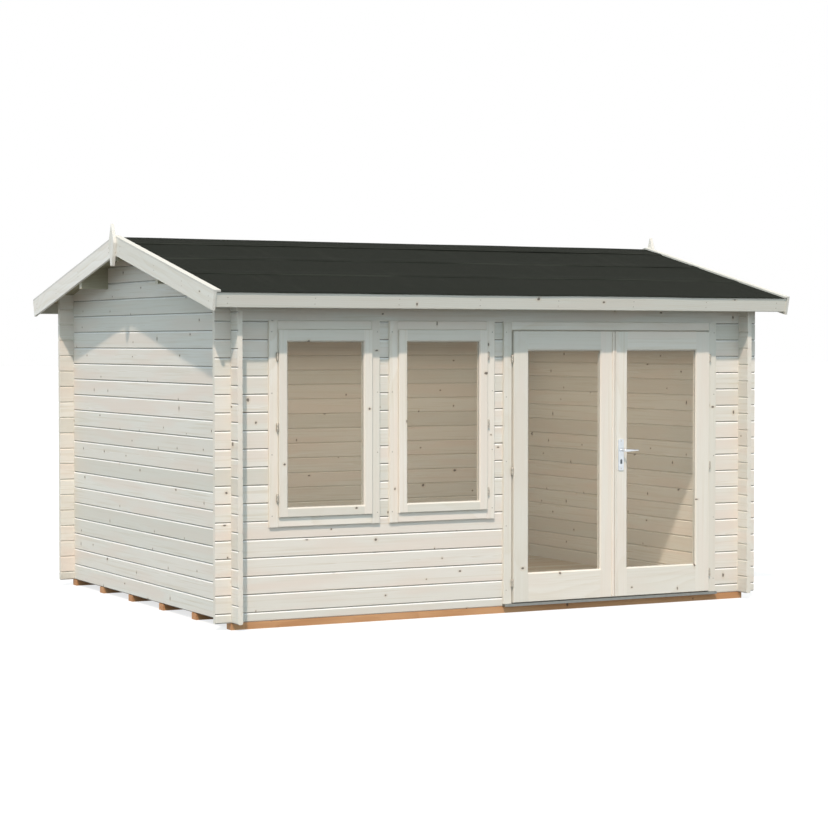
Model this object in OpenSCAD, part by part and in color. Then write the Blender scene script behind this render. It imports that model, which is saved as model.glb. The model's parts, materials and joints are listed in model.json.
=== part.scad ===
// Garden log cabin with a shallow felted gable roof, two side-hung windows and a glazed double door.
// Wall logs are stacked one by one, tongued and grooved, and notched into each other at the corners.
// Millimetres. X runs along the front, the front looks to -Y, Z is up.
// The origin lies under the middle of the cabin, at the underside of the bearers.

/* [Footprint] */
// Width of the log walls over their outer faces
cabin_w = 3886; // [3400:1:4600]
// Depth of the log walls over their outer faces
cabin_d = 2996; // [2600:1:3600]

/* [Logs] */
// Thickness of a wall log
log_t = 34; // [28:1:44]
// Height of one course of logs
course_h = 114; // [108:1:122]
// Length of the log ends that stand out past the corners
log_end = 107; // [80:1:130]
// Height of the bevelled top log at its outer face
top_log_h = 99; // [84:1:114]
// Chamfer along the edges of each log
log_chamfer = 7; // [2:0.5:9]
// Width of the tongue on a log
tongue_w = 10; // [8:1:12]
// Height of the tongue on a log
tongue_h = 8; // [5:1:10]

/* [Floor] */
// Height of a bearer
bearer_h = 44; // [38:1:70]
// Width of a bearer
bearer_w = 74; // [60:1:95]
// Number of bearers
bearer_count = 6; // [4:1:8]
// Thickness of the floor boards
floor_t = 19; // [16:1:26]
// Height of the door threshold
threshold_h = 18; // [12:1:22]

/* [Roof] */
// Slope of the roof in degrees
roof_pitch = 13; // [10:0.5:18]
// Thickness of the roof boards
deck_t = 18; // [16:1:22]
// Thickness of the roof felt
felt_t = 3; // [2:0.5:5]
// Reach of the fascia's lower edge past the front wall
fascia_reach = 222; // [190:1:260]
// Height of the fascia, square to the slope
fascia_h = 96; // [76:1:110]
// Thickness of the fascias, bargeboards and other roof trim
trim_t = 18; // [15:1:22]
// How far the felt hangs out past the fascia
felt_drip = 5; // [2:1:12]
// Reach of the bargeboards' faces past the gable walls
verge_reach = 215; // [180:1:250]
// How far the bargeboards run past the fascia's lower edge, level with the roof boards
verge_nose = 25; // [18:1:45]
// Width of a bargeboard, square to the slope
bargeboard_h = 116; // [100:1:135]
// Width of the cap strip over a bargeboard
cap_w = 45; // [35:1:60]
// Thickness of the cap strip
cap_t = 12; // [9:1:18]
// Width of a purlin
purlin_w = 44; // [34:1:58]
// Height of a purlin
purlin_h = 138; // [110:1:150]

/* [Finials] */
// Height of a finial from point to foot
finial_h = 284; // [240:1:340]
// Height of the finial's point above the cap strips
finial_rise = 78; // [50:1:110]
// Greatest width of a finial
finial_w = 100; // [80:1:130]
// Width of the finial's foot
finial_foot_w = 28; // [18:1:40]
// Thickness of a finial
finial_t = 22; // [16:1:28]

/* [Windows] */
// Width of a window's opening in the logs
window_w = 703; // [560:1:840]
// Last whole course under the windows
sill_course = 5; // [4:1:7]
// Last whole course beside the openings
head_course = 16; // [15:1:18]
// Share of the front's bare logs that lies left of the windows
left_bare_share = 0.39; // [0.3:0.005:0.45]
// Share of the front's bare logs that lies between the windows, and again beside the door
pier_bare_share = 0.125; // [0.1:0.005:0.15]
// Width of a sash's stiles and bottom rail
sash_w = 60; // [50:1:75]
// Height of a sash's top rail
sash_top_h = 76; // [60:1:90]
// Thickness of a sash
sash_t = 42; // [38:1:46]

/* [Door] */
// Width of the doorway in the logs
doorway_w = 1628; // [1300:1:1940]
// Width of a door leaf's stile at the hinges
hinge_stile_w = 113; // [100:1:130]
// Width of a door leaf's stile at the meeting edge
meeting_stile_w = 104; // [95:1:130]
// Height of a door leaf's top rail
top_rail_h = 130; // [100:1:160]
// Height of a door leaf's bottom rail
bottom_rail_h = 194; // [160:1:300]
// Thickness of a door leaf
leaf_t = 40; // [36:1:44]
// Gap between the two door leaves
meeting_gap = 8; // [7:1:10]
// Running gap round a door leaf
leaf_gap = 6; // [5.5:0.5:8]

/* [Frames] */
// Thickness of a frame's lining
lining_t = 24; // [20:1:30]
// Thickness of the casings, on both faces of the wall
casing_t = 18; // [14:1:24]
// How far the sashes and door leaves stand out past the casings
panel_proud = 18; // [10:1:24]
// How far a casing laps over the logs
casing_lap = 37; // [25:1:45]
// How far a casing laps over the logs above an opening
head_lap = 8; // [6:1:20]
// Room left over a frame for the logs to settle
settling_gap = 24; // [15:1:40]
// Width of the stop that a sash or leaf closes against
stop_w = 12; // [8:1:16]
// Thickness of the panes
glass_t = 4; // [4:1:6]
// Depth of the groove that holds a pane
glazing_depth = 9; // [6:1:12]
// Bevel round the panes
glazing_bevel = 8; // [4:1:10]
// Chamfer along the outer edges of the casings, sashes and leaves
edge_chamfer = 3; // [1:0.5:5]

/* [Hinges and handle] */
// Radius of a hinge barrel
barrel_r = 8; // [5:0.5:9]
// Length of a hinge barrel
barrel_l = 56; // [44:1:80]
// Distance of a door leaf's lowest hinge from its foot
leaf_hinge_foot = 130; // [90:1:200]
// Distance of a door leaf's top hinge from its head
leaf_hinge_head = 184; // [90:1:240]
// Distance of a sash's lowest hinge from its foot
sash_hinge_foot = 120; // [80:1:180]
// Distance of a sash's top hinge from its head
sash_hinge_head = 169; // [80:1:220]
// Height of the lever's axis above the wall base
lever_z = 1020; // [900:1:1100]
// Distance of the lever's axis from the edge of the leaf
lever_inset = 50; // [40:1:58]
// Length of the lever
lever_l = 116; // [100:1:150]
// Radius of the lever at its hub
lever_hub_r = 12; // [9:0.5:14]
// Radius of the lever at its tip
lever_tip_r = 5; // [4:0.5:8]
// Thickness of the lever
lever_t = 11; // [8:1:14]
// Clear space behind the lever
lever_reach = 38; // [30:1:50]
// Width of the handle's plate
plate_w = 44; // [34:1:48]
// Height of the handle's plate
plate_h = 214; // [180:1:240]
// Thickness of the handle's plate
plate_t = 7; // [4:1:9]
// How far the plate reaches above the lever's axis
plate_rise = 76; // [60:1:100]
// Distance from the lever's axis down to the lock cylinder
cylinder_drop = 78; // [60:1:92]

/* [Hidden] */
// Clearance between fixed pieces
seat = 0.3;
// Overrun of a cut past the face it opens
over = 20;
// Radius of the rounded lower edge of a fascia
fascia_round = 6;
// Half the width of the lock cylinder, and the height of its straight part
cylinder_r = 8;
cylinder_l = 17;
// How far the lock cylinder stands out of its plates
cylinder_out = 2;
// Radius of the lever's spindle
spindle_r = 5;
// Room round the spindle and the lock cylinder
spindle_room = 0.6;
// Radius of the neck between plate and lever
neck_r = 9;
// Shares of a course that set the starting half log and the corner notches
half_share = 0.5;
notch_share = 0.25;
// Least height of a gable log, as a share of a course
gable_log_share = 0.5;
// Height of the finial's widest place, as a share of its height from the foot
finial_waist_share = 0.54;
// Facets of the round pieces
round_fn = 48;

timber = [0.86, 0.83, 0.77];
trim_timber = [0.89, 0.87, 0.83];
treated_timber = [0.72, 0.50, 0.34];
felt_grey = [0.22, 0.23, 0.21];
pane = [0.62, 0.60, 0.55, 0.4];
steel = [0.72, 0.72, 0.72];

// Levels, measured from the base of the walls
last_course = head_course + 1;
wall_h = (last_course + half_share) * course_h + top_log_h;
ridge_y = cabin_d / 2;
ridge_z = wall_h + ridge_y * tan(roof_pitch);
gable_first = last_course + 1;
gable_last = floor(ridge_z / course_h - gable_log_share);
sill_z = (sill_course + half_share) * course_h;
head_z = (head_course + half_share) * course_h;

// Layers of the roof, measured square to the slope from the underside of the boards
deck_lo = seat;
deck_hi = deck_lo + deck_t;
felt_lo = deck_hi + seat;
felt_hi = felt_lo + felt_t;
cap_lo = felt_hi + seat;
cap_hi = cap_lo + cap_t;
board_lo = felt_hi - bargeboard_h;
verge_x = verge_reach - trim_t;
verge_y = fascia_reach + verge_nose;
fascia_y = fascia_reach + (fascia_h - deck_hi) * sin(roof_pitch);
deck_y = fascia_y - (trim_t + seat) * cos(roof_pitch);
purlin_y = (ridge_y + log_t / 2) / 2;

// Openings in the front wall, placed by the bare logs that the casings and corners leave between them
bare_w = cabin_w - 2 * (log_t + window_w) - doorway_w - 6 * casing_lap;
pier_w = bare_w * pier_bare_share + 2 * casing_lap;
left_window_x = log_t + bare_w * left_bare_share + casing_lap;
right_window_x = left_window_x + window_w + pier_w;
doorway_x = right_window_x + window_w + pier_w;
doorway_end = doorway_x + doorway_w;

// Faces and sizes of sashes and leaves
face_y = -casing_t;
inner_y = log_t + casing_t;
panel_y = face_y - panel_proud;
frame_top = head_z - settling_gap;
window_rect = [window_w - 2 * (lining_t + seat), frame_top - sill_z - 2 * (lining_t + seat)];
window_foot = sill_z + lining_t + seat;
leaf_foot = threshold_h + leaf_gap;
leaf_head = frame_top - lining_t - leaf_gap;
leaf_h = leaf_head - leaf_foot;
leaf_left = doorway_x + lining_t + leaf_gap;
leaf_right = doorway_end - lining_t - leaf_gap;
leaf_w = (leaf_right - leaf_left - meeting_gap) / 2;
leaf_stop_y = panel_y + leaf_t + leaf_gap;
barrel_out = barrel_r + seat;
hinge_y = face_y - barrel_out;
left_axis_x = leaf_left - barrel_out;
right_axis_x = leaf_right + barrel_out;
lever_x = leaf_right - leaf_w + lever_inset;

// Height of the roof boards' underside over a place on the front slope
function under(y) = wall_h + y * tan(roof_pitch);
// Point on a plumb cut, d above the underside square to the slope
function plumb(y, d) = [y, under(y) + d / cos(roof_pitch)];
// Point on a square cut, d above the underside square to the slope
function square_cut(y, d) = [y - d * sin(roof_pitch), under(y) + d * cos(roof_pitch)];

// Section of one log, with its outer face at zero
function log_section(z0, z1, tongue, groove) = concat(
    [[0, z0 + log_chamfer], [log_chamfer, z0]],
    groove ? [
        [(log_t - tongue_w) / 2 - seat, z0],
        [(log_t - tongue_w) / 2 - seat, z0 + tongue_h],
        [(log_t + tongue_w) / 2 + seat, z0 + tongue_h],
        [(log_t + tongue_w) / 2 + seat, z0]
    ] : [],
    [[log_t - log_chamfer, z0], [log_t, z0 + log_chamfer]],
    [[log_t, z1 - log_chamfer], [log_t - log_chamfer, z1]],
    tongue ? [
        [(log_t + tongue_w) / 2, z1],
        [(log_t + tongue_w) / 2, z1 + tongue_h - seat],
        [(log_t - tongue_w) / 2, z1 + tongue_h - seat],
        [(log_t - tongue_w) / 2, z1]
    ] : [],
    [[log_chamfer, z1], [0, z1 - log_chamfer]]
);

// Moves the cabin from its front left corner to the origin
module place() {
    translate([-cabin_w / 2, -cabin_d / 2, bearer_h]) children();
}

module mirrored_x() {
    translate([cabin_w, 0, 0]) mirror([1, 0, 0]) children();
}

module mirrored_y() {
    translate([0, cabin_d, 0]) mirror([0, 1, 0]) children();
}

// Carries a section drawn in Y and Z along X
module along_x(x0, x1) {
    translate([x0, 0, 0]) rotate([90, 0, 90]) linear_extrude(x1 - x0) children();
}

// Carries a section drawn in X and Z along Y
module along_y(y0, y1) {
    translate([0, y1, 0]) rotate([90, 0, 0]) linear_extrude(y1 - y0) children();
}

module block(low, high) {
    translate(low) cube(high - low);
}

// Space under the roof boards, over the whole cabin
module under_roof() {
    along_x(-log_end - over, cabin_w + log_end + over)
        polygon([
            [-log_end - over, -over],
            [cabin_d + log_end + over, -over],
            [cabin_d + log_end + over, under(-log_end - over)],
            [ridge_y, ridge_z],
            [-log_end - over, under(-log_end - over)]
        ]);
}

// Gap that a crossing log takes out of a log at one corner, above and below the part that stays
module corner_notch(low_z, stay_lo, stay_hi, high_z) {
    if (stay_lo > low_z)
        block([-seat, -over, low_z - over], [log_t + seat, log_t + over, stay_lo]);
    if (stay_hi < high_z)
        block([-seat, -over, stay_hi], [log_t + seat, log_t + over, high_z + over]);
}

// One log of the front wall, course k, from x0 to x1
module front_log(k, x0, x1, tongue, groove) {
    top = k > last_course;
    z0 = k == 0 ? 0 : (k - half_share) * course_h;
    z1 = top ? ridge_z : (k + half_share) * course_h - seat;
    stay_lo = k == 0 ? 0 : (k - notch_share) * course_h + seat / 2;
    stay_hi = top ? z1 : (k + notch_share) * course_h - seat / 2;
    difference() {
        intersection() {
            along_x(x0, x1) polygon(log_section(z0, z1, tongue && !top, groove && k > 0));
            if (top) under_roof();
        }
        if (x0 < 0) corner_notch(z0, stay_lo, stay_hi, z1);
        if (x1 > cabin_w) mirrored_x() corner_notch(z0, stay_lo, stay_hi, z1);
    }
}

// A panel of front-wall logs, plain at its lowest and highest edges
module front_logs(first, last, x0, x1) {
    for (k = [first:last])
        front_log(k, x0, x1, k < last, k > first);
}

// One log of the left wall below the eaves, course j
module side_log(j) {
    z0 = j * course_h;
    z1 = z0 + course_h - seat;
    stay_lo = z0 + notch_share * course_h + seat / 2;
    stay_hi = z0 + (1 - notch_share) * course_h - seat / 2;
    difference() {
        along_y(-log_end, cabin_d + log_end) polygon(log_section(z0, z1, true, j > 0));
        side_notches(z0, stay_lo, stay_hi, z1);
        mirrored_y() side_notches(z0, stay_lo, stay_hi, z1);
    }
}

// The corner notch turned for a log that runs along Y
module side_notches(low_z, stay_lo, stay_hi, high_z) {
    mirror([1, -1, 0]) corner_notch(low_z, stay_lo, stay_hi, high_z);
}

// One log of the gable, between the front and rear walls, cut to the slope and pocketed for the purlins
module gable_log(j) {
    top = j == gable_last;
    z0 = j * course_h;
    z1 = top ? ridge_z : z0 + course_h - seat;
    difference() {
        intersection() {
            along_y(log_t + seat, cabin_d - log_t - seat)
                polygon(log_section(z0, z1 + (top ? over : 0), !top, true));
            under_roof();
        }
        purlin_pockets();
    }
}

// Holes in a gable that the purlins pass through
module purlin_pockets() {
    pocket_low = purlin_h + seat;
    pocket_half = purlin_w / 2 + seat;
    block([-over, ridge_y - pocket_half, ridge_z - pocket_low],
          [log_t + over, ridge_y + pocket_half, ridge_z + over]);
    slope_pocket();
    mirrored_y() slope_pocket();
}

module slope_pocket() {
    pocket_half = purlin_w / 2 + seat;
    block([-over, purlin_y - pocket_half, under(purlin_y) - purlin_h - seat],
          [log_t + over, purlin_y + pocket_half, under(purlin_y) + over]);
}

module gable_wall() {
    for (j = [0:last_course])
        side_log(j);
    for (j = [gable_first:gable_last])
        gable_log(j);
}

// Layer of the front slope from x0 to x1, square cut at the eave and plumb at the ridge
module slope_layer(x0, x1, eave_y, lo, hi) {
    y1 = ridge_y - seat / 2;
    along_x(x0, x1)
        polygon([square_cut(-eave_y, lo), plumb(y1, lo), plumb(y1, hi), square_cut(-eave_y, hi)]);
}

// Layer of the front slope between the bargeboards
module roof_layer(eave_y, lo, hi) {
    slope_layer(-verge_x + seat, cabin_w + verge_x - seat, eave_y, lo, hi);
}

// Board across the ends of the roof boards, square to the slope, with its lower outer edge rounded
module fascia() {
    low = deck_hi - fascia_h;
    along_x(-verge_x + seat, cabin_w + verge_x - seat)
        translate([-fascia_y, under(-fascia_y)]) rotate(roof_pitch)
            union() {
                polygon([
                    [0, low + fascia_round], [fascia_round, low],
                    [trim_t, low], [trim_t, deck_hi], [0, deck_hi]
                ]);
                intersection() {
                    translate([fascia_round, low + fascia_round]) circle(fascia_round, $fn = round_fn);
                    translate([0, low]) square(fascia_round);
                }
            }
}

module bargeboards() {
    slope_layer(-verge_reach, -verge_x, verge_y, board_lo, felt_hi);
    mirrored_y() slope_layer(-verge_reach, -verge_x, verge_y, board_lo, felt_hi);
}

module verge_caps() {
    slope_layer(-verge_reach, cap_w - verge_reach, verge_y, cap_lo, cap_hi);
    mirrored_y() slope_layer(-verge_reach, cap_w - verge_reach, verge_y, cap_lo, cap_hi);
}

module finial() {
    tip_z = plumb(ridge_y, cap_hi)[1] + finial_rise;
    foot_z = tip_z - finial_h;
    waist_z = foot_z + finial_h * finial_waist_share;
    along_x(-verge_reach - finial_t - seat, -verge_reach - seat)
        polygon([
            [ridge_y - finial_foot_w / 2, foot_z], [ridge_y + finial_foot_w / 2, foot_z],
            [ridge_y + finial_w / 2, waist_z], [ridge_y, tip_z], [ridge_y - finial_w / 2, waist_z]
        ]);
}

module slope_purlin() {
    y0 = purlin_y - purlin_w / 2;
    y1 = purlin_y + purlin_w / 2;
    low_z = under(purlin_y) - purlin_h;
    along_x(-verge_x + seat, cabin_w + verge_x - seat)
        polygon([[y0, low_z], [y1, low_z], [y1, under(y1)], [y0, under(y0)]]);
}

// Section of a frame member that grips the log ends like a channel, drawn with the log end at zero.
// Its stop stands behind the sash or leaf, at stop_y.
module frame_section(lap, stop_y) {
    polygon([
        [-lap, face_y + edge_chamfer], [edge_chamfer - lap, face_y],
        [lining_t - edge_chamfer, face_y], [lining_t, face_y + edge_chamfer],
        [lining_t, stop_y], [lining_t + stop_w, stop_y],
        [lining_t + stop_w, inner_y], [-lap, inner_y], [-lap, log_t + seat], [seat, log_t + seat],
        [seat, -seat], [-lap, -seat]
    ]);
}

// Upright frame member at the left of an opening at x, from z0 up past the logs above the opening.
// Its lining stands between the levels low and frame_top, and its stop between the level members.
module frame_upright(x, z0, low, stop_y) {
    z1 = head_z + head_lap;
    stop_x = x + lining_t;
    difference() {
        translate([x, 0, z0]) linear_extrude(z1 - z0) frame_section(casing_lap, stop_y);
        log_room(x, frame_top, z1 + over);
        stop_room(stop_x, frame_top - lining_t - seat, z1 + over);
        if (low > z0) {
            log_room(x, z0 - over, low);
            stop_room(stop_x, z0 - over, low + lining_t + seat);
        }
    }
}

// Room in an upright for the logs that pass over or under the opening
module log_room(x, z0, z1) {
    block([x - casing_lap - over, -seat, z0], [x + lining_t + over, log_t + seat, z1]);
}

// Room in a frame member where another member's stop or lining passes
module stop_room(x, z0, z1) {
    block([x, face_y - over, z0], [x + stop_w + over, inner_y + over, z1]);
}

// Level frame member under an opening from x0 to x1, or over it when mirrored, between the uprights
module frame_level(x0, x1, z, lap, stop_y) {
    low = x0 + lining_t + seat;
    high = x1 - lining_t - seat;
    stop_z = z + lining_t;
    difference() {
        translate([high, 0, z]) rotate([0, -90, 0])
            linear_extrude(high - low) frame_section(lap, stop_y);
        stop_room(low - over + seat, stop_z, stop_z + stop_w + over);
        stop_room(high - stop_w - seat, stop_z, stop_z + stop_w + over);
    }
}

module frame_head(x0, x1, stop_y) {
    translate([0, 0, frame_top]) mirror([0, 0, 1])
        frame_level(x0, x1, 0, settling_gap + head_lap, stop_y);
}

// Frame of a window whose opening starts at x
module window_frame(x) {
    stop_y = panel_y + sash_t + seat;
    foot = sill_z - casing_lap;
    x1 = x + window_w;
    frame_upright(x, foot, sill_z, stop_y);
    translate([x + x1, 0, 0]) mirror([1, 0, 0]) frame_upright(x, foot, sill_z, stop_y);
    frame_level(x, x1, sill_z, casing_lap, stop_y);
    frame_head(x, x1, stop_y);
}

// Stiles and rails round a pane, with a bevel outside and a groove for the pane.
// The corner at the lower left of the outer face is at zero, and the body reaches back along +Y.
// The widths in sides are of the left and right stiles.
module glazed_panel(w, h, t, sides, foot, head) {
    difference() {
        panel_body(w, h, t);
        block([sides[0], -over, foot], [w - sides[1], t + over, h - head]);
        block([sides[0] - glazing_depth, pane_y(t) - seat, foot - glazing_depth],
              [w - sides[1] + glazing_depth, pane_y(t) + glass_t + seat, h - head + glazing_depth]);
        intersection() {
            translate([0, 0, -over]) linear_extrude(h + 2 * over) mouth(sides[0], w - sides[1]);
            along_x(-over, w + over) upright() mouth(foot, h - head);
        }
        rail_joints(w, h, t, sides, foot, head);
    }
}

// Board with chamfered edges round its outer face
module panel_body(w, h, t) {
    intersection() {
        linear_extrude(h) slab(w, t);
        along_x(0, w) upright() slab(h, t);
    }
}

// Swaps the two directions of a drawing, so that its widths run along Z
module upright() {
    mirror([1, -1, 0]) children();
}

module slab(w, t) {
    polygon([[0, edge_chamfer], [edge_chamfer, 0], [w - edge_chamfer, 0], [w, edge_chamfer], [w, t], [0, t]]);
}

// Bevelled mouth from a to b round a pane, wide at the outer face
module mouth(a, b) {
    wide = glazing_bevel + over;
    polygon([[a - wide, -over], [b + wide, -over], [b, glazing_bevel], [a, glazing_bevel]]);
}

// Fine joints where the rails meet the stiles
module rail_joints(w, h, t, sides, foot, head) {
    for (x = [sides[0] - seat, w - sides[1]]) {
        block([x, -over, -over], [x + seat, t + over, foot + over]);
        block([x, -over, h - head - over], [x + seat, t + over, h + over]);
    }
}

// Place of a pane inside a panel of thickness t
function pane_y(t) = (t - glass_t) / 2;

module panel_pane(w, h, t, sides, foot, head) {
    edge = glazing_depth - seat;
    block([sides[0] - edge, pane_y(t), foot - edge],
          [w - sides[1] + edge, pane_y(t) + glass_t, h - head + edge]);
}

// Upper or lower half of a hinge barrel standing at z
module barrel_half(x, z, upper) {
    half_l = barrel_l / 2 - seat / 2;
    translate([x, hinge_y, upper ? z + seat / 2 : z - seat / 2 - half_l])
        cylinder(half_l, barrel_r, barrel_r, $fn = round_fn);
}

// Heights of three hinges, the middle one half way between the others
function hinge_heights(low, high) = [low, (low + high) / 2, high];

leaf_hinge_z = hinge_heights(leaf_foot + leaf_hinge_foot, leaf_head - leaf_hinge_head);
sash_hinge_z = hinge_heights(window_foot + sash_hinge_foot, window_foot + window_rect[1] - sash_hinge_head);

module leaf_hinges(x) {
    for (z = leaf_hinge_z)
        barrel_half(x, z, true);
}

// Lever and plate outlines, drawn in X and Z round the lever's axis
module lever_outline() {
    circle(lever_hub_r, $fn = round_fn);
    polygon([
        [0, -lever_hub_r], [lever_l - lever_tip_r, -lever_tip_r],
        [lever_l - lever_tip_r, lever_tip_r], [0, lever_hub_r]
    ]);
    translate([lever_l - lever_tip_r, 0]) circle(lever_tip_r, $fn = round_fn);
}

module plate_outline() {
    difference() {
        translate([-plate_w / 2, plate_rise - plate_h]) square([plate_w, plate_h]);
        lock_holes();
    }
}

// Holes for the spindle and the lock cylinder
module lock_holes() {
    circle(spindle_r + spindle_room, $fn = round_fn);
    lock_outline(cylinder_r + spindle_room);
}

// Upright oblong of the lock cylinder
module lock_outline(r) {
    for (z = [0, -cylinder_l])
        translate([0, z - cylinder_drop]) circle(r, $fn = round_fn);
    translate([-r, -cylinder_l - cylinder_drop]) square([2 * r, cylinder_l]);
}

module at_lever() {
    translate([lever_x, 0, lever_z]) children();
}

module floor_bearers() {
    pitch = (cabin_d - bearer_w) / (bearer_count - 1);
    color(treated_timber) place()
        for (i = [0:bearer_count - 1])
            block([0, i * pitch, -bearer_h], [cabin_w, i * pitch + bearer_w, -seat]);
}

module floor_deck() {
    inner = log_t + seat;
    color(timber) place()
        difference() {
            block([inner, inner, 0], [cabin_w - inner, cabin_d - inner, floor_t]);
            block([doorway_x - casing_lap - seat, 0, -over],
                  [doorway_end + casing_lap + seat, inner_y + seat, floor_t + over]);
        }
}

// Sill plate under the jambs and leaves, notched round the log ends
module door_threshold() {
    x0 = doorway_x - casing_lap;
    x1 = doorway_end + casing_lap;
    notch_x = casing_lap + seat;
    color(steel) place()
        linear_extrude(threshold_h)
            difference() {
                translate([x0, panel_y]) square([x1 - x0, inner_y - panel_y]);
                for (x = [x0 - over, x1 - notch_x])
                    translate([x, -seat]) square([notch_x + over, log_t + 2 * seat]);
            }
}

module front_lower_logs() {
    color(timber) place() front_logs(0, sill_course, -log_end, doorway_x);
}

module front_left_logs() {
    color(timber) place() front_logs(sill_course + 1, head_course, -log_end, left_window_x);
}

module front_window_logs() {
    color(timber) place() front_logs(sill_course + 1, head_course, left_window_x + window_w, right_window_x);
}

module front_centre_logs() {
    color(timber) place() front_logs(sill_course + 1, head_course, right_window_x + window_w, doorway_x);
}

module front_right_logs() {
    color(timber) place() front_logs(0, head_course, doorway_end, cabin_w + log_end);
}

module front_header_logs() {
    color(timber) place() front_logs(head_course + 1, last_course + 1, -log_end, cabin_w + log_end);
}

module rear_wall() {
    color(timber) place() mirrored_y() front_logs(0, last_course + 1, -log_end, cabin_w + log_end);
}

module left_gable_wall() {
    color(timber) place() gable_wall();
}

module right_gable_wall() {
    color(timber) place() mirrored_x() gable_wall();
}

module ridge_purlin() {
    half = purlin_w / 2;
    color(timber) place()
        along_x(-verge_x + seat, cabin_w + verge_x - seat)
            polygon([
                [ridge_y - half, ridge_z - purlin_h], [ridge_y + half, ridge_z - purlin_h],
                [ridge_y + half, under(ridge_y - half)], [ridge_y, ridge_z],
                [ridge_y - half, under(ridge_y - half)]
            ]);
}

module front_purlin() {
    color(timber) place() slope_purlin();
}

module rear_purlin() {
    color(timber) place() mirrored_y() slope_purlin();
}

module front_roof_deck() {
    color(timber) place() roof_layer(deck_y, deck_lo, deck_hi);
}

module rear_roof_deck() {
    color(timber) place() mirrored_y() roof_layer(deck_y, deck_lo, deck_hi);
}

module front_roof_felt() {
    color(felt_grey) place() roof_layer(fascia_y + felt_drip, felt_lo, felt_hi);
}

module rear_roof_felt() {
    color(felt_grey) place() mirrored_y() roof_layer(fascia_y + felt_drip, felt_lo, felt_hi);
}

module front_fascia() {
    color(trim_timber) place() fascia();
}

module rear_fascia() {
    color(trim_timber) place() mirrored_y() fascia();
}

module left_bargeboards() {
    color(trim_timber) place() bargeboards();
}

module right_bargeboards() {
    color(trim_timber) place() mirrored_x() bargeboards();
}

module left_verge_caps() {
    color(trim_timber) place() verge_caps();
}

module right_verge_caps() {
    color(trim_timber) place() mirrored_x() verge_caps();
}

module left_finial() {
    color(trim_timber) place() finial();
}

module right_finial() {
    color(trim_timber) place() mirrored_x() finial();
}

module left_window_frame() {
    color(trim_timber) place() window_frame(left_window_x);
}

module right_window_frame() {
    color(trim_timber) place() window_frame(right_window_x);
}

module window_sash(x) {
    translate([x + lining_t + seat, panel_y, window_foot])
        glazed_panel(window_rect[0], window_rect[1], sash_t, [sash_w, sash_w], sash_w, sash_top_h);
}

module left_window_sash() {
    color(trim_timber) place() window_sash(left_window_x);
}

module right_window_sash() {
    color(trim_timber) place() window_sash(right_window_x);
}

module window_pane(x) {
    translate([x + lining_t + seat, panel_y, window_foot])
        panel_pane(window_rect[0], window_rect[1], sash_t, [sash_w, sash_w], sash_w, sash_top_h);
}

module left_window_glass() {
    color(pane) place() window_pane(left_window_x);
}

module right_window_glass() {
    color(pane) place() window_pane(right_window_x);
}

// Whole barrels on the windows, and the lower halves of the door's barrels
module frame_hinges() {
    color(steel) place() {
        for (z = sash_hinge_z) {
            for (upper = [true, false]) {
                barrel_half(left_window_x + lining_t - barrel_r, z, upper);
                barrel_half(right_window_x + window_w - lining_t + barrel_r, z, upper);
            }
        }
        for (z = leaf_hinge_z) {
            barrel_half(left_axis_x, z, false);
            barrel_half(right_axis_x, z, false);
        }
    }
}

module door_upright() {
    foot = threshold_h + seat;
    frame_upright(doorway_x, foot, foot, leaf_stop_y);
}

module door_left_jamb() {
    color(trim_timber) place() door_upright();
}

module door_right_jamb() {
    color(trim_timber) place() translate([doorway_x + doorway_end, 0, 0]) mirror([1, 0, 0]) door_upright();
}

module door_head() {
    color(trim_timber) place() frame_head(doorway_x, doorway_end, leaf_stop_y);
}

// Moves a leaf from its lower left corner to its place at x
module at_leaf(x) {
    translate([x, panel_y, leaf_foot]) children();
}

left_stiles = [hinge_stile_w, meeting_stile_w];
right_stiles = [meeting_stile_w, hinge_stile_w];

module left_door_leaf() {
    color(trim_timber) place() at_leaf(leaf_left)
        glazed_panel(leaf_w, leaf_h, leaf_t, left_stiles, bottom_rail_h, top_rail_h);
}

module left_door_glass() {
    color(pane) place() at_leaf(leaf_left)
        panel_pane(leaf_w, leaf_h, leaf_t, left_stiles, bottom_rail_h, top_rail_h);
}

module left_door_hinges() {
    color(steel) place() leaf_hinges(left_axis_x);
}

module right_door_leaf() {
    color(trim_timber) place()
        difference() {
            at_leaf(leaf_right - leaf_w)
                glazed_panel(leaf_w, leaf_h, leaf_t, right_stiles, bottom_rail_h, top_rail_h);
            at_lever() along_y(panel_y - over, panel_y + leaf_t + over) lock_holes();
        }
}

module right_door_glass() {
    color(pane) place() at_leaf(leaf_right - leaf_w)
        panel_pane(leaf_w, leaf_h, leaf_t, right_stiles, bottom_rail_h, top_rail_h);
}

module right_door_hinges() {
    color(steel) place() leaf_hinges(right_axis_x);
}

// Faces of the handle's plates, outside and inside
plate_face = panel_y - seat - plate_t;
back_face = panel_y + leaf_t + seat + plate_t;

// A plate on each face of the leaf, and the lock cylinder through both
module door_handle_plates() {
    color(steel) place() at_lever() {
        along_y(plate_face, plate_face + plate_t) plate_outline();
        along_y(back_face - plate_t, back_face) plate_outline();
        along_y(plate_face - cylinder_out, back_face + cylinder_out) lock_outline(cylinder_r);
    }
}

// Two levers on one spindle through the leaf
module door_lever() {
    front = plate_face - seat;
    back = back_face + seat;
    color(steel) place() at_lever() {
        along_y(front - lever_reach, back + lever_reach) circle(spindle_r, $fn = round_fn);
        along_y(front - lever_reach, front) circle(neck_r, $fn = round_fn);
        along_y(back, back + lever_reach) circle(neck_r, $fn = round_fn);
        along_y(front - lever_reach - lever_t, front - lever_reach) lever_outline();
        along_y(back + lever_reach, back + lever_reach + lever_t) lever_outline();
    }
}

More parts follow.
